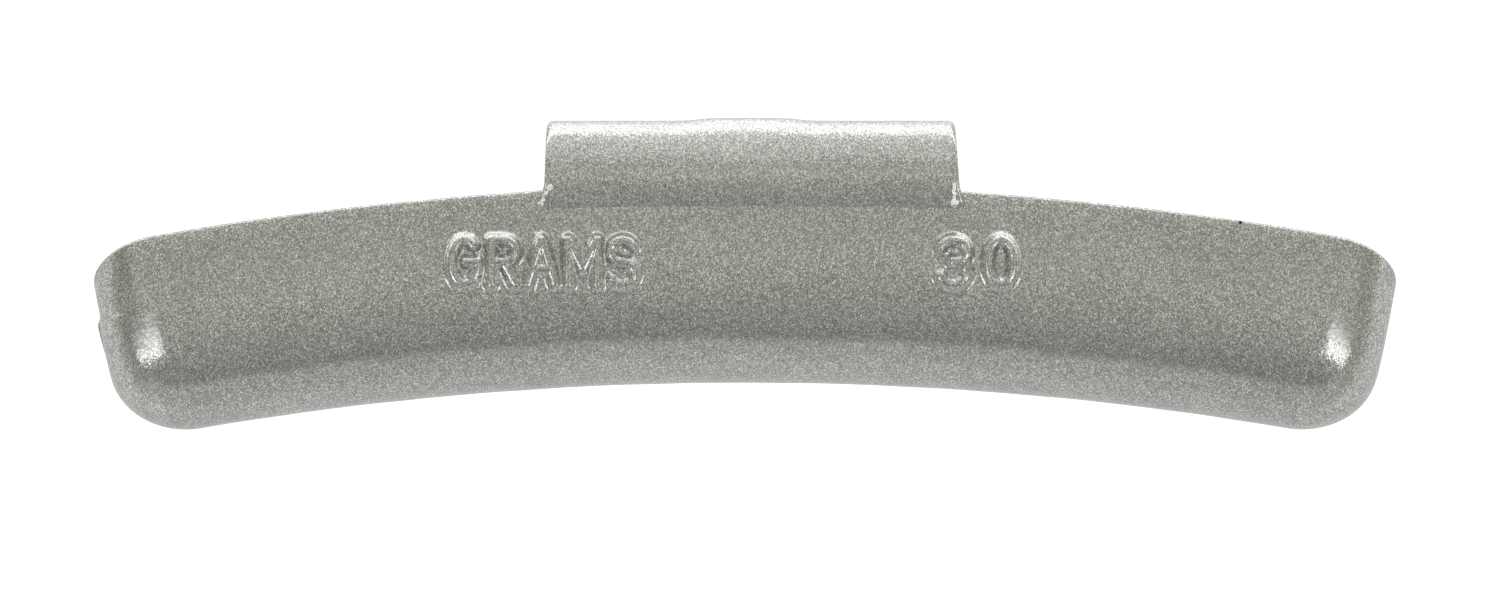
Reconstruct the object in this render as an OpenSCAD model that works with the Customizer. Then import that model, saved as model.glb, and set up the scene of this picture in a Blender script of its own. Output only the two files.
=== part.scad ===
// Clip-on balance weight for the flange of a car wheel.
// A curved zinc casting with raised markings, cast around the tail of a
// spring-steel clip that hooks over the edge of the wheel's rim flange.
// The weight lies on its flat back. X runs along the weight, Y points away
// from the wheel's axis (towards the clip) and Z points out of the wheel.

/* [Casting] */
// Length along the middle of the casting, end to end
body_len = 71.5; // [60:0.1:90]
// Height of the casting from its inner to its outer arc
body_h = 10.95; // [10.5:0.05:12]
// Depth of the casting, from its flat back to the crown of its face
body_t = 6.45; // [6.2:0.05:8]
// Radius of the outer arc, measured from the wheel's axis
outer_r = 192.45; // [165:0.05:230]
// Radius of the gentle crown of the face
crown_r = 21; // [16:1:40]
// Radius of the shoulder between the crown and the lower edge
shoulder_r = 7; // [6:0.5:9]
// Radius of the upper back, which sits in the curl of the rim flange
seat_r = 4.4; // [3.8:0.1:4.6]
// Radius of the crisp edge along the top of the face
edge_r = 0.2; // [0.2:0.05:0.5]

/* [Rounded ends] */
// Length of the rounding where the outer arc meets an end
top_a = 4.0; // [2:0.1:5]
// Height of the rounding where the outer arc meets an end
top_b = 2.15; // [1:0.05:3]
// Length of the rounding where the inner arc meets an end
low_a = 4.5; // [2:0.1:5]
// Height of the rounding where the inner arc meets an end
low_b = 3.8; // [2:0.1:4.4]
// Length of the rounding from the face to an end
face_a = 3.6; // [2:0.1:5]
// Depth of the rounding from the face to an end
face_c = 3.2; // [1.5:0.1:3.6]
// Length of the rounding from the back to an end
back_a = 1.2; // [0.6:0.1:2]
// Depth of the rounding from the back to an end
back_c = 0.8; // [0.4:0.1:1]

/* [Clip] */
// Width of the spring strip
clip_w = 23; // [14:0.1:26]
// Thickness of the spring strip
clip_t = 0.9; // [0.7:0.05:1]
// Sideways place of the clip's middle on the weight
clip_x = 0.45; // [-4:0.05:4]
// How far the clip stands above the top of the casting
clip_rise = 3.6; // [3.4:0.05:4]
// Radius of the clip's front, on its outside
bow_r = 4.3; // [4.1:0.05:4.6]
// Radius of the tight bend over the flange, on its outside
bend_r = 2.1; // [1.9:0.05:2.5]
// Angle at which the clip's front runs into the tight bend, in degrees
bend_a = 33; // [28:1:38]
// Lean of the strip where it enters the casting, in degrees
root_lean = 20; // [15:1:25]
// Length of strip held inside the casting
tail_len = 5.6; // [4:0.1:6]
// Outside radius of the strip where it follows the rim flange
hug_r = 8.2; // [7.5:0.1:9]
// Outside radius of the curl at the clip's free end
curl_r = 1.6; // [1.4:0.05:1.8]
// Height of the stiffening rib pressed in the bow
rib_h = 0.155; // [0.05:0.005:0.3]
// Half width of the rib where it is full height
rib_flat = 1.7; // [1:0.1:3]
// Half width of the rib at its foot
rib_foot = 4.0; // [3.5:0.1:6]

/* [Markings] */
// Height that the raised markings stand over the crown
mark_h = 0.3; // [0.1:0.05:0.4]
// Width of a marking's strokes
mark_w = 0.6; // [0.4:0.05:0.7]
// Bottom of the markings
mark_low = -0.94; // [-1.5:0.02:0]
// Top of the markings
mark_top = 2.12; // [1.5:0.02:2.6]

/* [Hidden] */

inner_r = outer_r - body_h;         // inner arc of the casting
mid_r = inner_r + 5.45;             // where body_len is measured
axis_y = -187.6 - (outer_r - 192.45); // the wheel's axis
base_y = inner_r + axis_y;          // Y of the inner arc at mid length
half_len = body_len / 2;

// ---- section of the casting, as [height over the inner arc, depth] ----
// an angle of 0 faces out of the wheel, 90 faces away from its axis
function arc(c, r, a0, a1, n, from = 0, to = undef) =
    [for (i = [from : is_undef(to) ? n : to])
        let (a = a0 + (a1 - a0) * i / n) [c[0] + r * sin(a), c[1] + r * cos(a)]];

crown_v = 5.7;
crown_c = [crown_v, body_t - crown_r];
edge_c = [body_h - edge_r,
          crown_c[1] + sqrt(pow(crown_r - edge_r, 2) - pow(body_h - edge_r - crown_v, 2))];
edge_a = asin((body_h - edge_r - crown_v) / (crown_r - edge_r));
a1 = -3;
a2 = -20;
p1 = crown_c + crown_r * [sin(a1), cos(a1)];
shoulder_c = p1 - shoulder_r * [sin(a1), cos(a1)];
p2 = shoulder_c + shoulder_r * [sin(a2), cos(a2)];
low_r = p2[0] / (1 + sin(a2));
low_c = p2 - low_r * [sin(a2), cos(a2)];
heel_r = low_c[1];
seat_c = [body_h - seat_r, seat_r];

section = concat(
    arc(edge_c, edge_r, 90, edge_a, 2),
    arc(crown_c, crown_r, edge_a, a1, 8, 1),
    arc(shoulder_c, shoulder_r, a1, a2, 3, 1),
    arc(low_c, low_r, a2, -90, 6, 1),
    arc([heel_r, heel_r], heel_r, -90, -180, 4, 1),
    [for (i = [1 : 2]) [heel_r + (seat_c[0] - heel_r) * i / 3, 0]],
    arc(seat_c, seat_r, 180, 90, 6)
);

// ---- the casting: the section swept about the wheel's axis, drawn in at both ends ----
// share of a rounding used up at distance d from the end
function ease(d, a) = d >= a ? 0 : 1 - sqrt(max(0, 1 - pow(1 - d / a, 2)));
function placed(u, v, z) =
    let (a = u / mid_r * 180 / PI, r = inner_r + v) [r * sin(a), axis_y + r * cos(a), z];
function ring(u) =
    let (d = half_len - abs(u),
         hi = body_h - top_b * ease(d, top_a),
         lo = low_b * ease(d, low_a),
         front = body_t - face_c * ease(d, face_a),
         back = back_c * ease(d, back_a))
    [for (p = section)
        placed(u, lo + (hi - lo) * p[0] / body_h, back + (front - back) * p[1] / body_t)];

end_steps = 9;
mid_steps = 16;
end_a = max(top_a, low_a, face_a, back_a);
left_u = [for (i = [0 : end_steps]) -half_len + end_a * (1 - cos(90 * i / end_steps))];
stations = concat(
    left_u,
    [for (i = [1 : mid_steps - 1]) (half_len - end_a) * (2 * i / mid_steps - 1)],
    [for (i = [end_steps : -1 : 0]) -left_u[i]]
);
function sweep_faces(n, m) = concat(
    [for (i = [0 : n - 2], j = [0 : m - 1]) [i * m + j, (i + 1) * m + j, i * m + (j + 1) % m]],
    [for (i = [0 : n - 2], j = [0 : m - 1])
        [i * m + (j + 1) % m, (i + 1) * m + j, (i + 1) * m + (j + 1) % m]],
    [for (j = [1 : m - 2]) [0, j, j + 1]],
    [for (j = [1 : m - 2]) [(n - 1) * m, (n - 1) * m + j + 1, (n - 1) * m + j]]
);

module casting_blank() {
    polyhedron(points = [for (u = stations) each ring(u)],
               faces = sweep_faces(len(stations), len(section)), convexity = 6);
}

// ---- the clip's strip, as its side view [height, depth], swept along X ----
root_a = -root_lean;
root_v = body_h + clip_rise - bend_r * (1 - sin(bend_a)) - bow_r * (sin(bend_a) - sin(root_a));
// depth of the face where the strip leaves it
root_z = crown_c[1] + sqrt(pow(crown_r, 2) - pow(root_v - crown_v, 2));
root = [root_v, root_z];
bow = root - bow_r * [sin(root_a), cos(root_a)];
bend = bow + (bow_r - bend_r) * [sin(bend_a), cos(bend_a)];
hug_a = 103;
hug = bend - (hug_r - bend_r) * [sin(hug_a), cos(hug_a)];
curl_a = acos((curl_r - hug[1]) / (hug_r - curl_r));
curl = hug + (hug_r - curl_r) * [sin(curl_a), cos(curl_a)];
tail_dir = [cos(root_a), -sin(root_a)];
// share of the rib's height at an angle round the bow, and past it round the curl
function rib_on_bow(a) = let (t = min(1, max(0, (a - 30) / 50))) t * t * (3 - 2 * t);
function rib_on_curl(a) = let (t = min(1, max(0, (160 - a) / (160 - curl_a)))) t * t * (3 - 2 * t);
// one side of the strip, a depth k below its outside, raised by h where the rib is full: tail, front, bend, hug and curl
function strip_side(k, h = 0) = concat(
    [root - k * [sin(root_a), cos(root_a)] - tail_len * tail_dir],
    [for (i = [0 : 9]) let (a = root_a + (bend_a - root_a) * i / 9)
        bow + (bow_r - k + h * rib_on_bow(a)) * [sin(a), cos(a)]],
    [for (i = [1 : 13]) let (a = bend_a + (hug_a - bend_a) * i / 13)
        bend + (bend_r - k + h * rib_on_bow(a)) * [sin(a), cos(a)]],
    [for (i = [1 : 2]) let (a = hug_a + (curl_a - hug_a) * i / 2)
        hug + (hug_r - k + h) * [sin(a), cos(a)]],
    [for (i = [1 : 8]) let (a = curl_a + (186 - curl_a) * i / 8)
        curl + (curl_r - k + h * rib_on_curl(a)) * [sin(a), cos(a)]]
);
function backwards(l) = [for (i = [len(l) - 1 : -1 : 0]) l[i]];
function strip_outline(h = 0) = concat(strip_side(0, h), backwards(strip_side(clip_t, h)));

// the strip with no rib, as the casting's slot needs it
module strip_slot() {
    translate([clip_x - clip_w / 2, base_y, 0]) rotate([90, 0, 90])
        linear_extrude(height = clip_w) polygon(strip_outline());
}

// the strip as outlines at steps across its width, raised to a rib in the middle
rib_steps = 4;
rib_side = [for (i = [0 : rib_steps]) rib_flat + (rib_foot - rib_flat) * (1 - i / rib_steps)];
strip_x = concat([-clip_w / 2], [for (x = rib_side) -x], [for (x = backwards(rib_side)) x], [clip_w / 2]);
function rib_at(x) = abs(x) >= rib_foot ? 0
    : rib_h * (1 + cos(180 * max(0, abs(x) - rib_flat) / (rib_foot - rib_flat))) / 2;
function strip_caps(o, n, m) = concat(
    [for (i = [0 : n - 2]) each o == 0
        ? [[i, m - 1 - i, i + 1], [i + 1, m - 1 - i, m - 2 - i]]
        : [[o + i, o + i + 1, o + m - 1 - i], [o + i + 1, o + m - 2 - i, o + m - 1 - i]]]
);
module strip() {
    n = len(strip_side(0));
    m = 2 * n;
    k = len(strip_x);
    polyhedron(
        points = [for (x = strip_x) each [for (p = strip_outline(rib_at(x))) [clip_x + x, base_y + p[0], p[1]]]],
        faces = concat(
            [for (i = [0 : k - 2], j = [0 : m - 1]) [i * m + j, i * m + (j + 1) % m, (i + 1) * m + j]],
            [for (i = [0 : k - 2], j = [0 : m - 1])
                [i * m + (j + 1) % m, (i + 1) * m + (j + 1) % m, (i + 1) * m + j]],
            strip_caps(0, n, m),
            strip_caps((k - 1) * m, n, m)
        ),
        convexity = 6);
}

// ---- raised markings, drawn as strokes in the plane of the face ----
function unit(v) = v / norm(v);
function left_of(v) = [-v[1], v[0]];
// the outline of a round-ended stroke along a path
function stroke(p, w) =
    let (n = len(p),
         dir = [for (i = [0 : n - 1])
             unit(i == 0 ? p[1] - p[0] : i == n - 1 ? p[n - 1] - p[n - 2]
                 : unit(p[i] - p[i - 1]) + unit(p[i + 1] - p[i]))],
         half = [for (i = [0 : n - 1])
             i == 0 || i == n - 1 ? w / 2 : w / 2 / (unit(p[i] - p[i - 1]) * dir[i])],
         a = atan2(dir[0][1], dir[0][0]), b = atan2(dir[n - 1][1], dir[n - 1][0]))
    concat(
        [for (i = [0 : n - 1]) p[i] + half[i] * left_of(dir[i])],
        [for (k = [1 : 4]) p[n - 1] + w / 2 * [cos(b + 90 - 36 * k), sin(b + 90 - 36 * k)]],
        [for (i = [n - 1 : -1 : 0]) p[i] - half[i] * left_of(dir[i])],
        [for (k = [1 : 4]) p[0] + w / 2 * [cos(a - 90 - 36 * k), sin(a - 90 - 36 * k)]]
    );
function bowed(c, rx, ry, a0, a1, n) =
    [for (i = [0 : n]) let (a = a0 + (a1 - a0) * i / n) [c[0] + rx * cos(a), c[1] + ry * sin(a)]];

mh = mark_top - mark_low - mark_w;   // height between stroke middles
// each glyph is a list of strokes in a box that is gw wide and mh high
function glyph_g(gw) = [
    bowed([gw / 2, mh / 2], gw / 2, mh / 2, 48, 360, 12),
    [[gw, mh / 2], [gw / 2 + 0.05, mh / 2]]
];
function glyph_r(gw) = [
    [[0, 0], [0, mh]],
    concat([[0, mh], [gw * 0.5, mh]], bowed([gw * 0.5, mh * 0.75], gw * 0.5, mh * 0.25, 60, -60, 4), [[gw * 0.5, mh * 0.5], [0, mh * 0.5]]),
    [[gw * 0.5, mh * 0.5], [gw, 0]]
];
function glyph_a(gw) = [
    [[0, 0], [gw / 2, mh]],
    [[gw / 2, mh], [gw, 0]],
    [[gw * 0.2, mh * 0.34], [gw * 0.8, mh * 0.34]]
];
function glyph_m(gw) = [
    [[0, 0], [0, mh]],
    [[0, mh], [gw / 2, mh * 0.35]],
    [[gw / 2, mh * 0.35], [gw, mh]],
    [[gw, mh], [gw, 0]]
];
function glyph_s(gw) = [
    concat(bowed([gw / 2, mh * 0.75], gw / 2, mh * 0.25, 30, 270, 8),
           bowed([gw / 2, mh * 0.25], gw / 2, mh * 0.25, 60, -150, 7))
];
function glyph_3(gw) = [
    bowed([gw / 2, mh * 0.74], gw / 2, mh * 0.26, 160, -90, 9),
    bowed([gw / 2, mh * 0.26], gw / 2, mh * 0.26, 90, -160, 9)
];
zero_w = 1.42;

module glyph(strokes, x) {
    translate([x, mark_low + mark_w / 2, body_t - 1])
        for (s = strokes)
            linear_extrude(height = 1 + mark_h) polygon(stroke(s, mark_w));
}
module zero(x) {
    translate([x + zero_w / 2, mark_low + mark_w / 2 + mh / 2, body_t - 1])
        linear_extrude(height = 1 + mark_h)
            polygon(points = concat(bowed([0, 0], zero_w / 2 + mark_w / 2, mh / 2 + mark_w / 2, 0, 345, 23),
                                    bowed([0, 0], zero_w / 2 - mark_w / 2, mh / 2 - mark_w / 2, 0, 345, 23)),
                    paths = [[for (i = [0 : 23]) i], [for (i = [24 : 47]) i]]);
}
module markings() {
    glyph(glyph_g(1.45), -16.15);
    glyph(glyph_r(1.35), -13.95);
    glyph(glyph_a(1.55), -11.95);
    glyph(glyph_m(1.6), -9.7);
    glyph(glyph_s(1.3), -7.35);
    glyph(glyph_3(1.5), 10.8);
    zero(13.47);
}

module cast_body() {
    color([0.60, 0.60, 0.57])
        union() {
            difference() {
                casting_blank();
                strip_slot();
            }
            markings();
        }
}

module spring_clip() {
    color([0.68, 0.68, 0.66]) strip();
}

cast_body();
spring_clip();
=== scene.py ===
import bpy
import math
import numpy as np
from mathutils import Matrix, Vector


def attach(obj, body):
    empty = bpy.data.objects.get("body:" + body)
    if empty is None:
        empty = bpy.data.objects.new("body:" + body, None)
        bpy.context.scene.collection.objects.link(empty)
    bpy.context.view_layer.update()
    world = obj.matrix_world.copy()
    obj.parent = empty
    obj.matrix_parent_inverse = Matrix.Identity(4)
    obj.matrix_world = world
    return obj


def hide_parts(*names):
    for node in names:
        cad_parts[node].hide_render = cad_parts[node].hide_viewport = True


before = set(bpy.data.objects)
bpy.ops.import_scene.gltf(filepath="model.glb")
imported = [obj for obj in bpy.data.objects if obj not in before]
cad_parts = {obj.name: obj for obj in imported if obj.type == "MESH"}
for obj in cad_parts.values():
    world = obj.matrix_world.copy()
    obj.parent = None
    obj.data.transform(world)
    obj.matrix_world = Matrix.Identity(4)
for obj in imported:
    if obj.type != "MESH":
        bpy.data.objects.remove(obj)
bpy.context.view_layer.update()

MM = 0.001

# ---------------------------------------------------------------- the casting's dimensions, in mm, as in the CAD
body_len, body_h, body_t = 71.5, 10.95, 6.45
outer_r, crown_r, shoulder_r, seat_r, edge_r = 192.45, 21.0, 7.0, 4.4, 0.2
top_a, top_b, low_a, low_b = 4.0, 2.15, 4.5, 3.8
face_a, face_c, back_a, back_c = 3.6, 3.2, 1.2, 0.8
clip_w, clip_t, clip_x, clip_rise = 23.0, 0.9, 0.45, 3.6
bow_r, bend_r, bend_a = 4.3, 2.1, 33.0
root_lean, tail_len, hug_r, curl_r = 20.0, 5.6, 8.2, 1.6
rib_h, rib_flat, rib_foot = 0.155, 1.7, 4.0
mark_h, mark_w, mark_low, mark_top = 0.3, 0.6, -0.94, 2.12

inner_r = outer_r - body_h
mid_r = inner_r + 5.45
axis_y = -187.6
base_y = inner_r + axis_y
half_len = body_len / 2
end_a = max(top_a, low_a, face_a, back_a)

sind = lambda a: np.sin(np.radians(a))
cosd = lambda a: np.cos(np.radians(a))


def direction(a):
    return np.array([sind(a), cosd(a)])


crown_v = 5.7
crown_c = np.array([crown_v, body_t - crown_r])
edge_c = np.array([body_h - edge_r,
                   crown_c[1] + math.sqrt((crown_r - edge_r) ** 2 - (body_h - edge_r - crown_v) ** 2)])
edge_a = math.degrees(math.asin((body_h - edge_r - crown_v) / (crown_r - edge_r)))
a1, a2 = -3.0, -20.0
shoulder_c = crown_c + (crown_r - shoulder_r) * direction(a1)
p2 = shoulder_c + shoulder_r * direction(a2)
low_r = p2[0] / (1 + sind(a2))
low_c = p2 - low_r * direction(a2)
heel_r = low_c[1]
seat_c = np.array([body_h - seat_r, seat_r])


def arc(c, r, angles):
    a = np.radians(np.asarray(angles, float))
    return np.stack([c[0] + r * np.sin(a), c[1] + r * np.cos(a)], 1)


def steps(length, size):
    return max(2, int(math.ceil(length / size)))


def section_points():
    """The casting's section as [height, depth], from the top of the outer edge round by the face and the back."""
    out = [arc(edge_c, edge_r, np.linspace(90, edge_a, 7))]
    # the face: fine where the markings are
    v_hi, v_lo = 9.3, 4.9
    ang = lambda v: math.degrees(math.asin((v - crown_v) / crown_r))
    out.append(arc(crown_c, crown_r, np.linspace(edge_a, ang(v_hi), 6)[1:]))
    out.append(arc(crown_c, crown_r, np.linspace(ang(v_hi), ang(v_lo), steps(v_hi - v_lo, 0.065) + 1)[1:]))
    out.append(arc(crown_c, crown_r, np.linspace(ang(v_lo), a1, 3)[1:]))
    out.append(arc(shoulder_c, shoulder_r, np.linspace(a1, a2, 11)[1:]))
    out.append(arc(low_c, low_r, np.linspace(a2, -90, 20)[1:]))
    out.append(arc((heel_r, heel_r), heel_r, np.linspace(-90, -180, 12)[1:]))
    flat = np.linspace(heel_r, seat_c[0], 7)[1:-1]
    out.append(np.stack([flat, np.zeros_like(flat)], 1))
    out.append(arc(seat_c, seat_r, np.linspace(180, 90, 18)))
    flat = np.linspace(seat_c[1], edge_c[1], 8)[1:-1]
    out.append(np.stack([np.full_like(flat, body_h), flat], 1))
    return np.concatenate(out)


def ease(d, a):
    t = np.clip(1 - np.asarray(d, float) / a, 0, 1)
    return 1 - np.sqrt(np.maximum(0, 1 - t * t))


def placed(u, v, z):
    a = u / mid_r
    r = inner_r + v
    return np.stack([r * np.sin(a), axis_y + r * np.cos(a), z + 0 * r], -1)


def ring(u, sec):
    d = half_len - abs(u)
    hi = body_h - top_b * ease(d, top_a)
    lo = low_b * ease(d, low_a)
    front = body_t - face_c * ease(d, face_a)
    back = back_c * ease(d, back_a)
    v = lo + (hi - lo) * sec[:, 0] / body_h
    z = back + (front - back) * sec[:, 1] / body_t
    return v, z


# ---------------------------------------------------------------- the raised markings, as strokes in the face's plane
mh = mark_top - mark_low - mark_w


def bend(c, rx, ry, b0, b1, n):
    a = np.radians(np.linspace(b0, b1, n + 1))
    return [(c[0] + rx * math.cos(t), c[1] + ry * math.sin(t)) for t in a]


def glyph_g(w):
    return [bend((w / 2, mh / 2), w / 2, mh / 2, 48, 360, 28), [(w, mh / 2), (w * 0.52, mh / 2)]]


def glyph_r(w):
    return [[(0, 0), (0, mh)],
            [(0, mh), (w / 2, mh)] + bend((w / 2, mh * 0.75), w / 2, mh * 0.25, 90, -90, 14) + [(0, mh * 0.5)],
            [(w / 2, mh * 0.5), (w, 0)]]


def glyph_a(w):
    return [[(0, 0), (w / 2, mh), (w, 0)], [(w * 0.2, mh * 0.34), (w * 0.8, mh * 0.34)]]


def glyph_m(w):
    return [[(0, 0), (0, mh), (w / 2, mh * 0.35), (w, mh), (w, 0)]]


def glyph_s(w):
    return [bend((w / 2, mh * 0.75), w / 2, mh * 0.25, 30, 270, 20)
            + bend((w / 2, mh * 0.25), w / 2, mh * 0.25, 90, -150, 20)[1:]]


def glyph_3(w):
    return [bend((w / 2, mh * 0.74), w / 2, mh * 0.26, 160, -90, 22),
            bend((w / 2, mh * 0.26), w / 2, mh * 0.26, 90, -160, 22)]


def glyph_0(w):
    return [bend((w / 2, mh / 2), w / 2, mh / 2, 0, 360, 40)]


def lettering():
    segs = []
    for glyph, w, x in ((glyph_g, 1.45, -16.15), (glyph_r, 1.35, -13.95), (glyph_a, 1.55, -11.95),
                        (glyph_m, 1.6, -9.7), (glyph_s, 1.3, -7.35), (glyph_3, 1.5, 10.8), (glyph_0, 1.42, 13.47)):
        for path in glyph(w):
            p = np.array(path) + [x, mark_low + mark_w / 2]
            segs.append(np.concatenate([p[:-1], p[1:]], 1))
    return np.concatenate(segs)


SEGS = lettering()


def stroke_distance(x, y):
    """Distance from points in the face's plane to the nearest stroke."""
    d = np.full(x.shape, 9.0)
    near = (y > mark_low - 1) & (y < mark_top + 1) & (np.abs(x) < 18)
    px, py = x[near], y[near]
    best = np.full(px.shape, 9.0)
    for ax, ay, bx, by in SEGS:
        ex, ey = bx - ax, by - ay
        t = np.clip(((px - ax) * ex + (py - ay) * ey) / max(ex * ex + ey * ey, 1e-12), 0, 1)
        best = np.minimum(best, np.hypot(px - ax - t * ex, py - ay - t * ey))
    d[near] = best
    return d


def smooth(t):
    t = np.clip(t, 0, 1)
    return t * t * (3 - 2 * t)


def end_shift(u, v):
    """The left end stands back a little above the mark of the gate."""
    return 0.11 * smooth((v - 6.8) / 0.3) * smooth((-32.0 - u) / 3.0)


# ---------------------------------------------------------------- the casting
def build_body():
    sec = section_points()
    m = len(sec)
    ends = [end_a * (1 - math.cos(math.pi / 2 * i / 26)) - half_len for i in range(27)]
    fine = ((-17.0, -5.5), (10.1, 15.7))
    marks = [ends[-1], fine[0][0], fine[0][1], fine[1][0], fine[1][1], -ends[-1]]
    us = list(ends)
    for k in range(5):
        size = 0.065 if k in (1, 3) else 0.45
        us += list(np.linspace(marks[k], marks[k + 1], steps(marks[k + 1] - marks[k], size) + 1)[1:])
    us += [-u for u in ends[::-1][1:]]
    n = len(us)
    V = np.zeros((n, m))
    Z = np.zeros((n, m))
    for i, u in enumerate(us):
        V[i], Z[i] = ring(u, sec)
    U = np.repeat(np.array(us)[:, None], m, 1)

    # slow unevenness of a small die casting under its coating
    P = placed(U, V, Z)
    wob = (np.sin(U * 0.9 + V * 0.7) + 0.7 * np.sin(U * 0.43 - V * 1.3 + 2) + 0.6 * np.sin(U * 1.7 + 0.4 * V + 4)) * 0.006

    # outward directions from the swept grid
    du = np.gradient(P, axis=0)
    dv = np.roll(P, -1, 1) - np.roll(P, 1, 1)
    N = np.cross(du, dv)
    N /= np.maximum(np.linalg.norm(N, axis=2, keepdims=True), 1e-12)
    mid = P[n // 2].mean(0)
    if np.mean(np.sum(N[n // 2] * (P[n // 2] - mid), 1)) < 0:
        N = -N
    inner = (half_len - np.abs(U)) > 0.05
    P = P + N * (wob * inner)[..., None]
    P[..., 0] += end_shift(U, V)

    # raised markings on the face
    face = (N[..., 2] > 0.6)
    d = stroke_distance(P[..., 0], P[..., 1])
    rise = smooth((mark_w / 2 + SOFT / 2 - d) / SOFT) * face
    P[..., 2] += rise * np.minimum(RELIEF, body_t + mark_h - 0.005 - P[..., 2])

    # the coating gathers on the outer edge at both sides of the clip
    for side, x0 in ((-1, clip_x - clip_w / 2), (1, clip_x + clip_w / 2)):
        dx = (P[..., 0] - x0) * side
        top = smooth((V - body_h + 0.5) / 0.5) * (Z > seat_c[1] - 0.5)
        P[..., 1] += top * 0.07 * np.exp(-(np.maximum(dx, 0) / 0.8) ** 1.5) * (dx > -0.6)

    verts = list(P.reshape(-1, 3))
    faces = []
    for i in range(n - 1):
        a, b = i * m, (i + 1) * m
        for j in range(m):
            k = (j + 1) % m
            faces.append((a + j, a + k, b + k, b + j))
    # the flat ends, as rings that shrink to a point
    for e, base in ((0, 0), (n - 1, (n - 1) * m)):
        v0, z0 = V[e], Z[e]
        vc, zc = 6.2, 2.1
        prev = [base + j for j in range(m)]
        rings = 14
        for r in range(1, rings):
            t = 1 - r / rings
            v = vc + (v0 - vc) * t
            z = zc + (z0 - zc) * t
            q = placed(np.full(m, us[e]), v, z)
            if e == 0:
                # what is left of the gate where the metal ran in
                q[:, 0] += end_shift(us[e], v)
                q[:, 0] -= 0.11 * smooth((6.9 - v) / 0.3) * smooth((v - 4.4) / 2.0) * smooth(2.2 - np.abs(z - 2.2) / 0.7)
            start = len(verts)
            verts += list(q)
            cur = [start + j for j in range(m)]
            for j in range(m):
                k = (j + 1) % m
                faces.append((prev[j], cur[j], cur[k], prev[k]) if e == 0 else (prev[j], prev[k], cur[k], cur[j]))
            prev = cur
        c = placed(np.array([us[e]]), np.array([vc]), np.array([zc]))[0]
        if e == 0:
            c[0] -= 0.11 * float(smooth(np.array((vc - 4.4) / 2.0)))
        verts.append(c)
        ci = len(verts) - 1
        for j in range(m):
            k = (j + 1) % m
            faces.append((prev[j], ci, prev[k]) if e == 0 else (prev[j], prev[k], ci))
    return np.array(verts), faces


RELIEF, SOFT = 0.40, 0.50

# ---------------------------------------------------------------- the clip
root_a = -root_lean
root_v = body_h + clip_rise - bend_r * (1 - sind(bend_a)) - bow_r * (sind(bend_a) - sind(root_a))
root_z = crown_c[1] + math.sqrt(crown_r ** 2 - (root_v - crown_v) ** 2)
root = np.array([root_v, root_z])
bow = root - bow_r * direction(root_a)
over = bow + (bow_r - bend_r) * direction(bend_a)
hug_a = 103.0
hug = over - (hug_r - bend_r) * direction(hug_a)
curl_a = math.degrees(math.acos((curl_r - hug[1]) / (hug_r - curl_r)))
curl = hug + (hug_r - curl_r) * direction(curl_a)
tail_dir = np.array([cosd(root_a), -sind(root_a)])


def clip_path():
    """Stations along the strip: outer point, outward direction and the rib's share."""
    out = []
    for t in np.linspace(-tail_len, 0, 15)[:-1]:
        out.append((root + t * tail_dir, direction(root_a), 0.0))
    for a in np.linspace(root_a, bend_a, 30):
        out.append((bow + bow_r * direction(a), direction(a), float(smooth(np.array((a - 30) / 50)))))
    for a in np.linspace(bend_a, hug_a, 33)[1:]:
        out.append((over + bend_r * direction(a), direction(a), float(smooth(np.array((a - 30) / 50)))))
    for a in np.linspace(hug_a, curl_a, 5)[1:]:
        out.append((hug + hug_r * direction(a), direction(a), 1.0))
    for a in np.linspace(curl_a, 186, 22)[1:]:
        out.append((curl + curl_r * direction(a), direction(a), float(smooth(np.array((160 - a) / (160 - curl_a))))))
    return out


def strip_loop(left, right, share, depth=clip_t, ro=0.26, ri=0.2, grow=0.0):
    """A cross-section of the strip as (x, depth below the outside), with rounded corners."""
    pts = []
    xs = np.linspace(left + ro, right - ro, 70)
    plateau = np.clip(np.maximum((-1.5 - xs) / 2.1, (xs - 1.95) / 2.1), 0, 1)
    lift = rib_h * share * (1 + np.cos(math.pi * plateau)) / 2
    for x, h in zip(xs, lift):
        pts.append((x, -h - grow))
    for a in np.linspace(0, 90, 7)[1:]:
        pts.append((right - ro + (ro + grow) * sind(a), ro - (ro + grow) * cosd(a)))
    for a in np.linspace(90, 180, 6)[(0 if ro + ri < depth else 1):]:
        pts.append((right - ri + (ri + grow) * sind(a), depth - ri - (ri + grow) * cosd(a)))
    xs = np.linspace(right - ri, left + ri, 70)[1:]
    plateau = np.clip(np.maximum((-1.5 - xs) / 2.1, (xs - 1.95) / 2.1), 0, 1)
    lift = rib_h * share * (1 + np.cos(math.pi * plateau)) / 2
    for x, h in zip(xs, lift):
        pts.append((x, depth - h + grow))
    for a in np.linspace(180, 270, 6)[1:]:
        pts.append((left + ri + (ri + grow) * sind(a), depth - ri - (ri + grow) * cosd(a)))
    for a in np.linspace(270, 360, 7)[:-1]:
        pts.append((left + ro + (ro + grow) * sind(a), ro - (ro + grow) * cosd(a)))
    return pts


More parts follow.
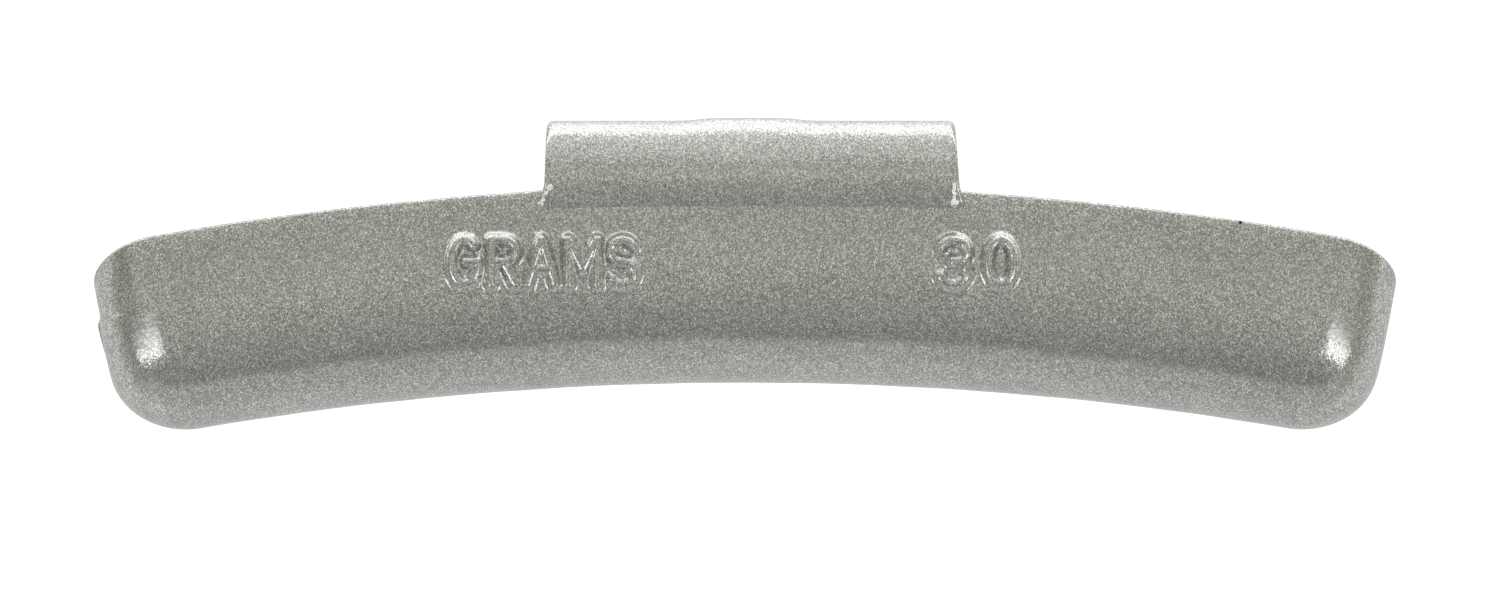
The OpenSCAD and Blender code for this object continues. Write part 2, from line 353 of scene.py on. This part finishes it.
def build_clip(stations=None, grow=0.0, rib=1.0, tip=True, flare=True):
    path = clip_path() if stations is None else stations
    verts, faces, loops = [], [], []
    n = len(path)
    for i, (p, d, share) in enumerate(path):
        t = min(max((p[0] - root_v) / (body_h + clip_rise - root_v), 0), 1)
        if i >= 69:
            t = 1
        left = -11.05 + 0.11 * t
        right = 11.95 - 0.24 * t
        depth = clip_t
        ro, ri = 0.12 + 0.30 * float(smooth(np.array((i - 36) / 12))), 0.2
        if flare and i < 34:
            q = p - root
            along = float(q @ tail_dir)
            f = math.exp(-(along / 0.75) ** 2) if along > 0 else math.exp(-(along / 0.25) ** 2)
            left -= 0.30 * f
            right += 0.24 * f
            ro += 0.10 * f
        for x, k in strip_loop(left, right, share * rib, depth, ro, ri, grow):
            q = p - k * d
            verts.append((x, base_y + q[0], q[1]))
        loops.append(len(verts))
    m = loops[0]
    for i in range(n - 1):
        for j in range(m):
            k = (j + 1) % m
            faces.append((i * m + j, i * m + k, (i + 1) * m + k, (i + 1) * m + j))
    verts = np.array(verts)
    # both ends: the loop drawn in twice for a broken edge, then filled across
    for e in (0, n - 1):
        p, d, share = path[e]
        along = np.array([0, -d[1], d[0]]) if e == 0 else np.array([0, d[1], -d[0]])
        if e == 0:
            along = -np.array([0, tail_dir[0], tail_dir[1]])
        prev = list(range(e * m, e * m + m))
        base = verts[e * m:(e + 1) * m]
        mid_p = p - clip_t / 2 * d
        cyz = np.array([base_y + mid_p[0], mid_p[1]])
        for f, push in ((0.12, 0.16), (0.34, 0.24), (0.7, 0.27)) if tip else ():
            q = base.copy()
            q[:, 1:] = cyz + (base[:, 1:] - cyz) * (1 - f)
            q[:, 0] += np.clip(0.15 * f, 0, 1) * np.sign(clip_x - q[:, 0]) * (np.abs(q[:, 0] - clip_x) > 11)
            q = q + along * push * (1 if e else 0.6)
            start = len(verts)
            verts = np.concatenate([verts, q])
            cur = list(range(start, start + m))
            for j in range(m):
                k = (j + 1) % m
                faces.append((prev[j], cur[j], cur[k], prev[k]) if e == 0 else (prev[j], prev[k], cur[k], cur[j]))
            prev = cur
        # fill across: outer side against inner side
        cap = prev
        a, b = 0, m - 1
        while b - a > 2:
            quad = (cap[a], cap[a + 1], cap[b - 1], cap[b])
            faces.append(quad if e == 0 else quad[::-1])
            a, b = a + 1, b - 1
        if b - a == 2:
            tri = (cap[a], cap[a + 1], cap[b])
            faces.append(tri if e == 0 else tri[::-1])
    return verts, faces


def make_object(name, verts, faces):
    me = bpy.data.meshes.new(name)
    me.from_pydata([tuple(v) for v in np.asarray(verts) * MM], [], [tuple(f) for f in faces])
    me.update()
    ob = bpy.data.objects.new(name, me)
    bpy.context.scene.collection.objects.link(ob)
    me.polygons.foreach_set("use_smooth", [True] * len(me.polygons))
    me.update()
    return ob


def signed_volume(ob):
    me = ob.data
    me.calc_loop_triangles()
    co = np.zeros(len(me.vertices) * 3)
    me.vertices.foreach_get("co", co)
    co = co.reshape(-1, 3)
    t = np.zeros(len(me.loop_triangles) * 3, int)
    me.loop_triangles.foreach_get("vertices", t)
    t = t.reshape(-1, 3)
    return float(np.sum(np.cross(co[t[:, 0]], co[t[:, 1]]) * co[t[:, 2]]) / 6)


def outward(ob):
    if signed_volume(ob) < 0:
        ob.data.flip_normals()
    return ob


body_obj = outward(make_object("casting", *build_body()))
clip_obj = outward(make_object("spring_strip", *build_clip()))

# the slot that the casting's metal leaves round the clip's tail
tail_stations = clip_path()[:14 + 34]
body_obj.data.materials.append(bpy.data.materials.new("outside"))
cutter = outward(make_object("slot_cutter", *build_clip(tail_stations, grow=0.001, rib=0.0, tip=False, flare=False)))
cutter.data.materials.append(bpy.data.materials.new("slot"))
mod = body_obj.modifiers.new("slot", 'BOOLEAN')
mod.material_mode = 'TRANSFER'
mod.operation = 'DIFFERENCE'
mod.solver = 'EXACT'
mod.object = cutter
bpy.context.view_layer.update()
cut = bpy.data.meshes.new_from_object(body_obj.evaluated_get(bpy.context.evaluated_depsgraph_get()))
body_obj.modifiers.clear()
before = abs(signed_volume(body_obj))
old = body_obj.data
body_obj.data = cut
after = abs(signed_volume(body_obj))
if not 0.96 * before < after < 0.99 * before:
    body_obj.data = old
cut.name = "casting"
me = body_obj.data
# the slot's rim stays a crisp edge
side_of = {}
for poly in me.polygons:
    for key in poly.edge_keys:
        side_of.setdefault(key, set()).add(poly.material_index)
rim = np.array([len(side_of.get(e.key, ())) > 1 for e in me.edges])
attr = me.attributes.new("sharp_edge", 'BOOLEAN', 'EDGE') if "sharp_edge" not in me.attributes else me.attributes["sharp_edge"]
attr.data.foreach_set("value", rim)
for poly in me.polygons:
    poly.material_index = 0
bpy.data.objects.remove(cutter)


# ---------------------------------------------------------------- the coating
def node(nt, kind, loc=(0, 0), **values):
    nd = nt.nodes.new(kind)
    nd.location = loc
    for k, v in values.items():
        setattr(nd, k, v)
    return nd


def bead(nt, tc, facing, flake, a, b, ra, rb, rm, km, tilt):
    """Turns the surface inside a thin run of coating, with a drop at each end, to its own slope. In mm."""
    L = nt.links.new
    a, b = Vector(a), Vector(b)
    run = b - a
    flat = node(nt, "ShaderNodeVectorMath", (-900, 900), operation='MULTIPLY')
    flat.inputs[1].default_value = (1000, 1000, 0)
    L(tc.outputs["Object"], flat.inputs[0])
    rel = node(nt, "ShaderNodeVectorMath", (-750, 900), operation='SUBTRACT')
    rel.inputs[1].default_value = (a.x, a.y, 0)
    L(flat.outputs[0], rel.inputs[0])
    dot = node(nt, "ShaderNodeVectorMath", (-600, 950), operation='DOT_PRODUCT')
    dot.inputs[1].default_value = (run.x / run.length_squared, run.y / run.length_squared, 0)
    L(rel.outputs[0], dot.inputs[0])
    clamp = node(nt, "ShaderNodeClamp", (-450, 950))
    L(dot.outputs["Value"], clamp.inputs[0])
    on = node(nt, "ShaderNodeVectorMath", (-300, 950), operation='SCALE')
    on.inputs[0].default_value = (run.x, run.y, 0)
    L(clamp.outputs[0], on.inputs["Scale"])
    best = None
    for point, radius, peak in ((on.outputs[0], rm, km), ((0, 0, 0), ra, 1.0), ((run.x, run.y, 0), rb, 1.0)):
        dist = node(nt, "ShaderNodeVectorMath", (-150, 950), operation='DISTANCE')
        L(rel.outputs[0], dist.inputs[0])
        if isinstance(point, tuple):
            dist.inputs[1].default_value = point
        else:
            L(point, dist.inputs[1])
        m = node(nt, "ShaderNodeMapRange", (0, 950))
        m.inputs["From Min"].default_value = 0.0
        m.inputs["From Max"].default_value = radius * 2
        m.inputs["To Min"].default_value = peak
        m.inputs["To Max"].default_value = 0.0
        L(dist.outputs["Value"], m.inputs["Value"])
        if best is None:
            best = m.outputs[0]
        else:
            mx = node(nt, "ShaderNodeMath", (150, 950), operation='MAXIMUM')
            L(best, mx.inputs[0])
            L(m.outputs[0], mx.inputs[1])
            best = mx.outputs[0]
    # a ragged outline
    wav = node(nt, "ShaderNodeTexNoise", (-900, 1050), noise_dimensions='3D')
    wav.inputs["Scale"].default_value = 9.0
    L(flat.outputs[0], wav.inputs["Vector"])
    rough = node(nt, "ShaderNodeMapRange", (0, 1100))
    rough.inputs["From Min"].default_value = 0.30
    rough.inputs["From Max"].default_value = 0.70
    rough.inputs["To Min"].default_value = -0.34
    rough.inputs["To Max"].default_value = 0.34
    L(wav.outputs["Fac"], rough.inputs["Value"])
    both = node(nt, "ShaderNodeMath", (250, 1000), operation='ADD')
    L(best, both.inputs[0])
    L(rough.outputs[0], both.inputs[1])
    amount = node(nt, "ShaderNodeMapRange", (300, 950))
    amount.interpolation_type = 'SMOOTHSTEP'
    amount.inputs["From Min"].default_value = 0.40
    amount.inputs["From Max"].default_value = 0.62
    L(both.outputs[0], amount.inputs["Value"])
    slope = node(nt, "ShaderNodeVectorMath", (250, 750), operation='ADD')
    slope.inputs[0].default_value = tilt
    L(flake, slope.inputs[1])
    mix = node(nt, "ShaderNodeMix", (400, 800), data_type='VECTOR')
    L(amount.outputs[0], mix.inputs[0])
    L(facing, mix.inputs[4])
    L(slope.outputs[0], mix.inputs[5])
    unit = node(nt, "ShaderNodeVectorMath", (500, 800), operation='NORMALIZE')
    L(mix.outputs[1], unit.inputs[0])
    return unit.outputs[0]


def coating(name, base, specks):
    mat = bpy.data.materials.new(name)
    mat.use_nodes = True
    nt = mat.node_tree
    nt.nodes.clear()
    L = nt.links.new
    out = node(nt, "ShaderNodeOutputMaterial", (900, 0))
    bsdf = node(nt, "ShaderNodeBsdfPrincipled", (600, 0))
    L(bsdf.outputs["BSDF"], out.inputs["Surface"])
    bsdf.inputs["Metallic"].default_value = METALLIC
    bsdf.inputs["Roughness"].default_value = ROUGH
    bsdf.inputs["IOR"].default_value = 1.5

    tc = node(nt, "ShaderNodeTexCoord", (-1200, 0))

    # aluminium flakes, each lying at its own small angle
    def flakes(size_mm, amount, y):
        vor = node(nt, "ShaderNodeTexVoronoi", (-950, y), voronoi_dimensions='3D', feature='F1')
        vor.inputs["Scale"].default_value = 1000.0 / size_mm
        vor.inputs["Randomness"].default_value = 1.0
        L(tc.outputs["Object"], vor.inputs["Vector"])
        sub = node(nt, "ShaderNodeVectorMath", (-750, y), operation='SUBTRACT')
        sub.inputs[1].default_value = (0.5, 0.5, 0.5)
        L(vor.outputs["Color"], sub.inputs[0])
        sc = node(nt, "ShaderNodeVectorMath", (-550, y), operation='SCALE')
        sc.inputs["Scale"].default_value = amount
        L(sub.outputs[0], sc.inputs[0])
        return vor, sc

    vor1, f1 = flakes(FLAKE_FINE, FLAKE_FINE_AMT, 200)
    vor2, f2 = flakes(FLAKE_BIG, FLAKE_BIG_AMT, -100)
    geo = node(nt, "ShaderNodeNewGeometry", (-950, 450))
    bump = node(nt, "ShaderNodeBump", (-500, 480))
    bump.inputs["Strength"].default_value = 1.0
    bump.inputs["Distance"].default_value = 0.000016
    noi = node(nt, "ShaderNodeTexNoise", (-750, 480), noise_dimensions='3D')
    noi.inputs["Scale"].default_value = 2200.0
    noi.inputs["Detail"].default_value = 3.0
    L(tc.outputs["Object"], noi.inputs["Vector"])
    L(noi.outputs["Fac"], bump.inputs["Height"])
    add1 = node(nt, "ShaderNodeVectorMath", (-300, 300), operation='ADD')
    L(bump.outputs["Normal"], add1.inputs[0])
    L(f1.outputs[0], add1.inputs[1])
    add2 = node(nt, "ShaderNodeVectorMath", (-100, 200), operation='ADD')
    L(add1.outputs[0], add2.inputs[0])
    L(f2.outputs[0], add2.inputs[1])
    nrm = node(nt, "ShaderNodeVectorMath", (60, 200), operation='NORMALIZE')
    L(add2.outputs[0], nrm.inputs[0])
    facing = nrm.outputs[0]
    # small smooth beads of coating in the corners at both sides of the clip
    for (a, b, ra, rb, rm, km, tilt) in BEADS:
        facing = bead(nt, tc, facing, f1.outputs[0], a, b, ra, rb, rm, km, tilt)
    L(facing, bsdf.inputs["Normal"])

    # each flake is a little lighter or darker, over slow cloudiness
    sep = node(nt, "ShaderNodeSeparateColor", (-500, -250))
    L(vor1.outputs["Color"], sep.inputs[0])
    ramp = node(nt, "ShaderNodeValToRGB", (-300, -250))
    while len(ramp.color_ramp.elements) > 1:
        ramp.color_ramp.elements.remove(ramp.color_ramp.elements[-1])
    for i, (pos, val) in enumerate(FLAKE):
        e = ramp.color_ramp.elements[0] if i == 0 else ramp.color_ramp.elements.new(pos)
        e.position = pos
        e.color = (val / 2, val / 2, val / 2, 1)
    twice = node(nt, "ShaderNodeMath", (-150, -200), operation='MULTIPLY')
    twice.inputs[1].default_value = 2.0
    L(ramp.outputs[0], twice.inputs[0])
    L(sep.outputs[1], ramp.inputs[0])
    cloud = node(nt, "ShaderNodeTexNoise", (-500, -480), noise_dimensions='3D')
    cloud.inputs["Scale"].default_value = 260.0
    cloud.inputs["Detail"].default_value = 4.0
    L(tc.outputs["Object"], cloud.inputs["Vector"])
    cr = node(nt, "ShaderNodeMapRange", (-300, -480))
    cr.inputs["From Min"].default_value = 0.3
    cr.inputs["From Max"].default_value = 0.7
    cr.inputs["To Min"].default_value = 0.96
    cr.inputs["To Max"].default_value = 1.04
    L(cloud.outputs["Fac"], cr.inputs["Value"])
    mul = node(nt, "ShaderNodeMath", (-100, -300), operation='MULTIPLY')
    L(twice.outputs[0], mul.inputs[0])
    L(cr.outputs[0], mul.inputs[1])

    # small dark specks of dirt in the coating
    fac = None
    for (sx, sy, sz, sr) in specks:
        dist = node(nt, "ShaderNodeVectorMath", (-700, -750), operation='DISTANCE')
        flat = node(nt, "ShaderNodeVectorMath", (-900, -750), operation='MULTIPLY')
        flat.inputs[1].default_value = (1, 1, 0.35)
        L(tc.outputs["Object"], flat.inputs[0])
        L(flat.outputs[0], dist.inputs[0])
        dist.inputs[1].default_value = (sx * MM, sy * MM, sz * MM * 0.35)
        mr = node(nt, "ShaderNodeMapRange", (-500, -750))
        mr.inputs["From Min"].default_value = sr * MM * 0.5
        mr.inputs["From Max"].default_value = sr * MM
        mr.inputs["To Min"].default_value = 0.08
        mr.inputs["To Max"].default_value = 1.0
        L(dist.outputs["Value"], mr.inputs["Value"])
        if fac is None:
            fac = mr.outputs[0]
        else:
            mn = node(nt, "ShaderNodeMath", (-300, -750), operation='MINIMUM')
            L(fac, mn.inputs[0])
            L(mr.outputs[0], mn.inputs[1])
            fac = mn.outputs[0]
    last = mul.outputs[0]
    if fac is not None:
        m2 = node(nt, "ShaderNodeMath", (0, -400), operation='MULTIPLY')
        L(mul.outputs[0], m2.inputs[0])
        L(fac, m2.inputs[1])
        last = m2.outputs[0]
    col = node(nt, "ShaderNodeVectorMath", (200, -200), operation='SCALE')
    col.inputs[0].default_value = base
    L(last, col.inputs["Scale"])
    L(col.outputs[0], bsdf.inputs["Base Color"])
    return mat


BASE = (0.608, 0.608, 0.595)
# the clip's copy of the same silver coating is painted lighter, a painted highlight that makes the clip look more
# brightly lit than the casting
BASE_CLIP_PAINTED_LIGHTER = (0.68, 0.68, 0.665)
METALLIC, ROUGH = 0.92, 0.19
FLAKE_FINE, FLAKE_FINE_AMT = 0.056, 0.065
FLAKE_BIG, FLAKE_BIG_AMT = 0.20, 0.02
FLAKE = ((0.0, 0.48), (0.45, 0.80), (0.80, 1.07), (0.92, 1.60), (1.0, 1.80))
# the second floor value is the floor's glow close to the part, painted darker there as a painted shadow of the part
FLOOR_GLOW, FLOOR_NEAR_PAINTED_SHADOW, FLOOR_FAR, FLOOR_ENDS = 0.80, 0.66, 1.80, 0.10
KEY, KEY_W = 1.75, 0.08
TENT = ((-180, 0.62, 1.0), (-90, 0.64, 1.0), (-60, 0.575, 0.97), (-46, 0.56, 0.95), (-40, 0.30, 0.94), (-30, 0.38, 0.93), (-22, 0.40, 0.93), (-4, 0.41, 0.91),
        (5, 0.60, 0.89), (14, 0.57, 0.88), (24, 0.515, 0.88), (34, 0.69, 0.93), (60, 0.84, 0.96), (74, 1.00, 0.97), (82, 1.66, 1.0), (180, 1.66, 1.0))
SIDE_GAIN = 1.16
POOL = ((0.0, 1.14), (0.09, 0.89), (0.22, 0.93), (0.36, 1.0), (1.0, 1.0))
SIDES = ((0.0, 0.55), (0.12, 0.52), (0.36, 0.38), (0.58, 0.37), (0.85, 0.46))

# from, to, radius of the two drops and of the run between them, how whole the run is, and the way that their faces look
BEADS = (((-10.72, 4.72, 0), (-11.19, 3.90, 0), 0.155, 0.16, 0.10, 0.56, (-0.31, -0.09, 0.946)),
         ((11.61, 4.88, 0), (11.635, 3.88, 0), 0.10, 0.20, 0.10, 0.86, (0.27, -0.09, 0.959)))
specks_body = [(27.43, 2.79, 5.7, 0.15), (-33.12, -8.0, 3.4, 0.09), (-35.1, -6.05, 3.4, 0.09)]
body_obj.data.materials.clear()
body_obj.data.materials.append(coating("silver_coating_on_zinc", BASE, specks_body))
clip_obj.data.materials.append(coating("silver_coating_on_steel", BASE_CLIP_PAINTED_LIGHTER, []))

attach(body_obj, "root")
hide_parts("cast_body")
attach(clip_obj, "root")
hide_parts("spring_clip")

# ---------------------------------------------------------------- floor, light and camera
floor_me = bpy.data.meshes.new("floor")
S = 3.0
floor_me.from_pydata([(-S, -S, 0), (S, -S, 0), (S, S, 0), (-S, S, 0)], [], [(0, 1, 2, 3)])
floor = bpy.data.objects.new("floor", floor_me)
bpy.context.scene.collection.objects.link(floor)
fmat = bpy.data.materials.new("pale_floor")
fmat.use_nodes = True
nt = fmat.node_tree
nt.nodes.clear()
L = nt.links.new
fout = node(nt, "ShaderNodeOutputMaterial", (900, 0))
# a pale board on a light table: lit from above, and glowing a little from below
seen = node(nt, "ShaderNodeAddShader", (300, 200))
glow = node(nt, "ShaderNodeEmission", (100, 300))
glow.inputs["Strength"].default_value = FLOOR_GLOW
matt = node(nt, "ShaderNodeBsdfDiffuse", (100, 150))
matt.inputs["Color"].default_value = (0.85, 0.85, 0.85, 1)
L(glow.outputs[0], seen.inputs[0])
L(matt.outputs[0], seen.inputs[1])
# the light that it throws back at the part, which the camera doesn't see: a glow painted darker near the part as a
# painted shadow of the part, and brighter on the far side
ftc = node(nt, "ShaderNodeTexCoord", (-700, -200))
fsep = node(nt, "ShaderNodeSeparateXYZ", (-500, -200))
L(ftc.outputs["Object"], fsep.inputs[0])
fmr = node(nt, "ShaderNodeMapRange", (-300, -200))
fmr.interpolation_type = 'SMOOTHSTEP'
fmr.inputs["From Min"].default_value = 0.011
fmr.inputs["From Max"].default_value = 0.025
fmr.inputs["To Min"].default_value = FLOOR_NEAR_PAINTED_SHADOW
fmr.inputs["To Max"].default_value = FLOOR_FAR
fabs = node(nt, "ShaderNodeMath", (-500, -400), operation='ABSOLUTE')
L(fsep.outputs[0], fabs.inputs[0])
# opposite the clip the painted shadow is narrower and the brighter part reaches nearer
fnear = node(nt, "ShaderNodeMapRange", (-500, -550))
fnear.interpolation_type = 'SMOOTHSTEP'
fnear.inputs["From Min"].default_value = 0.012
fnear.inputs["From Max"].default_value = 0.018
fnear.inputs["To Min"].default_value = 0.0045
fnear.inputs["To Max"].default_value = 0.0
L(fabs.outputs[0], fnear.inputs["Value"])
fy = node(nt, "ShaderNodeMath", (-400, -200), operation='ADD')
L(fsep.outputs[1], fy.inputs[0])
L(fnear.outputs[0], fy.inputs[1])
L(fy.outputs[0], fmr.inputs["Value"])
# and a little more beyond both ends
fmx = node(nt, "ShaderNodeMapRange", (-300, -400))
fmx.interpolation_type = 'SMOOTHSTEP'
fmx.inputs["From Min"].default_value = 0.034
fmx.inputs["From Max"].default_value = 0.044
fmx.inputs["To Min"].default_value = 0.0
fmx.inputs["To Max"].default_value = FLOOR_ENDS
L(fabs.outputs[0], fmx.inputs["Value"])
fsum = node(nt, "ShaderNodeMath", (-100, -300), operation='ADD')
L(fmr.outputs[0], fsum.inputs[0])
L(fmx.outputs[0], fsum.inputs[1])
back = node(nt, "ShaderNodeEmission", (100, -150))
back.inputs["Color"].default_value = (1.0, 1.0, 0.985, 1)
L(fsum.outputs[0], back.inputs["Strength"])
lp = node(nt, "ShaderNodeLightPath", (300, 450))
fmix = node(nt, "ShaderNodeMixShader", (600, 0))
L(lp.outputs["Is Camera Ray"], fmix.inputs[0])
L(back.outputs[0], fmix.inputs[1])
L(seen.outputs[0], fmix.inputs[2])
L(fmix.outputs[0], fout.inputs["Surface"])
floor_me.materials.append(fmat)

# the studio: a soft tent that is brighter on the far side (+Y) than overhead and on the near side
world = bpy.data.worlds.new("studio")
bpy.context.scene.world = world
world.use_nodes = True
nt = world.node_tree
bg = nt.nodes["Background"]
wtc = node(nt, "ShaderNodeTexCoord", (-900, 0))
wsep = node(nt, "ShaderNodeSeparateXYZ", (-700, 0))
nt.links.new(wtc.outputs["Generated"], wsep.inputs[0])
wat = node(nt, "ShaderNodeMath", (-500, 0), operation='ARCTAN2')
nt.links.new(wsep.outputs[1], wat.inputs[0])
nt.links.new(wsep.outputs[2], wat.inputs[1])
wmr = node(nt, "ShaderNodeMapRange", (-300, 0))
wmr.inputs["From Min"].default_value = -math.pi
wmr.inputs["From Max"].default_value = math.pi
nt.links.new(wat.outputs[0], wmr.inputs["Value"])
wr = node(nt, "ShaderNodeValToRGB", (-100, 0))
wr.color_ramp.interpolation = 'LINEAR'
TENT_MAX = 2.0
while len(wr.color_ramp.elements) > 1:
    wr.color_ramp.elements.remove(wr.color_ramp.elements[-1])
for i, (deg, val, blue) in enumerate(TENT):
    e = wr.color_ramp.elements[0] if i == 0 else wr.color_ramp.elements.new((deg + 180) / 360)
    e.position = (deg + 180) / 360
    c = val / TENT_MAX
    e.color = (c, c, c * blue, 1)
nt.links.new(wmr.outputs[0], wr.inputs[0])
# towards both ends of the part the tent is darker, except low down
wabs = node(nt, "ShaderNodeMath", (-500, -300), operation='ABSOLUTE')
nt.links.new(wsep.outputs[0], wabs.inputs[0])
wside = node(nt, "ShaderNodeMapRange", (-300, -300))
wside.interpolation_type = 'SMOOTHSTEP'
wside.inputs["From Min"].default_value = 0.45
wside.inputs["From Max"].default_value = 0.85
nt.links.new(wabs.outputs[0], wside.inputs["Value"])
wr2 = node(nt, "ShaderNodeValToRGB", (-100, -300))
while len(wr2.color_ramp.elements) > 1:
    wr2.color_ramp.elements.remove(wr2.color_ramp.elements[-1])
for i, (pos, val) in enumerate(SIDES):
    e = wr2.color_ramp.elements[0] if i == 0 else wr2.color_ramp.elements.new(pos)
    e.position = pos
    c = val / TENT_MAX
    e.color = (c, c, c * 0.90, 1)
nt.links.new(wsep.outputs[2], wr2.inputs[0])
wmix = node(nt, "ShaderNodeMix", (200, 0), data_type='RGBA')
nt.links.new(wside.outputs[0], wmix.inputs[0])
# straight above the middle it is a little brighter than to both sides of that
wpool = node(nt, "ShaderNodeValToRGB", (-100, 250))
while len(wpool.color_ramp.elements) > 1:
    wpool.color_ramp.elements.remove(wpool.color_ramp.elements[-1])
for i, (pos, val) in enumerate(POOL):
    e = wpool.color_ramp.elements[0] if i == 0 else wpool.color_ramp.elements.new(pos)
    e.position = pos
    e.color = (val / 2, val / 2, val / 2, 1)
nt.links.new(wabs.outputs[0], wpool.inputs[0])
wtwice = node(nt, "ShaderNodeVectorMath", (50, 250), operation='SCALE')
wtwice.inputs["Scale"].default_value = 2.0
nt.links.new(wpool.outputs[0], wtwice.inputs[0])
wpooled = node(nt, "ShaderNodeVectorMath", (120, 100), operation='MULTIPLY')
nt.links.new(wr.outputs[0], wpooled.inputs[0])
nt.links.new(wtwice.outputs[0], wpooled.inputs[1])
nt.links.new(wpooled.outputs[0], wmix.inputs[6])
# and a little brighter at the right end than at the left
wgain = node(nt, "ShaderNodeMapRange", (-100, -500))
wgain.inputs["From Min"].default_value = -0.3
wgain.inputs["From Max"].default_value = 0.3
wgain.inputs["To Min"].default_value = 1.0
wgain.inputs["To Max"].default_value = SIDE_GAIN
nt.links.new(wsep.outputs[0], wgain.inputs["Value"])
wside2 = node(nt, "ShaderNodeVectorMath", (50, -300), operation='SCALE')
nt.links.new(wr2.outputs[0], wside2.inputs[0])
nt.links.new(wgain.outputs[0], wside2.inputs["Scale"])
nt.links.new(wside2.outputs[0], wmix.inputs[7])
nt.links.new(wmix.outputs[2], bg.inputs["Color"])
bg.inputs["Strength"].default_value = TENT_MAX


def softbox(name, az, el, dist, w, h, radiance):
    """An area light aimed at the part. az from +X towards +Y, el over the floor, in degrees."""
    light = bpy.data.lights.new(name, 'AREA')
    light.shape = 'RECTANGLE'
    light.size, light.size_y = w, h
    light.energy = radiance * math.pi * w * h
    ob = bpy.data.objects.new(name, light)
    d = Vector((math.cos(math.radians(el)) * math.cos(math.radians(az)),
                math.cos(math.radians(el)) * math.sin(math.radians(az)), math.sin(math.radians(el))))
    ob.location = d * dist
    ob.rotation_euler = (-d).to_track_quat('-Z', 'Y').to_euler()
    bpy.context.scene.collection.objects.link(ob)
    return ob


softbox("key_left", 180 + 21.8, 53.8, 0.55, KEY_W * 1.2, 0.41, KEY)
softbox("key_right", -24.3, 55.5, 0.55, KEY_W * 1.35, 0.39, KEY * 1.02)

cam_data = bpy.data.cameras.new("camera")
cam = bpy.data.objects.new("camera", cam_data)
bpy.context.scene.collection.objects.link(cam)
bpy.context.scene.camera = cam
DIST = 0.6
cam.location = (0.333 * MM, -1.75 * MM, DIST + 2.5 * MM)
cam.rotation_euler = (0, 0, 0)
cam_data.sensor_width = 36
cam_data.sensor_fit = 'HORIZONTAL'
cam_data.lens = DIST * 36 / (1500 / 18 * MM)
cam_data.clip_start = 0.01
cam_data.clip_end = 20

bpy.context.scene.view_settings.view_transform = 'Standard'
bpy.context.scene.view_settings.look = 'None'

bpy.context.view_layer.update()
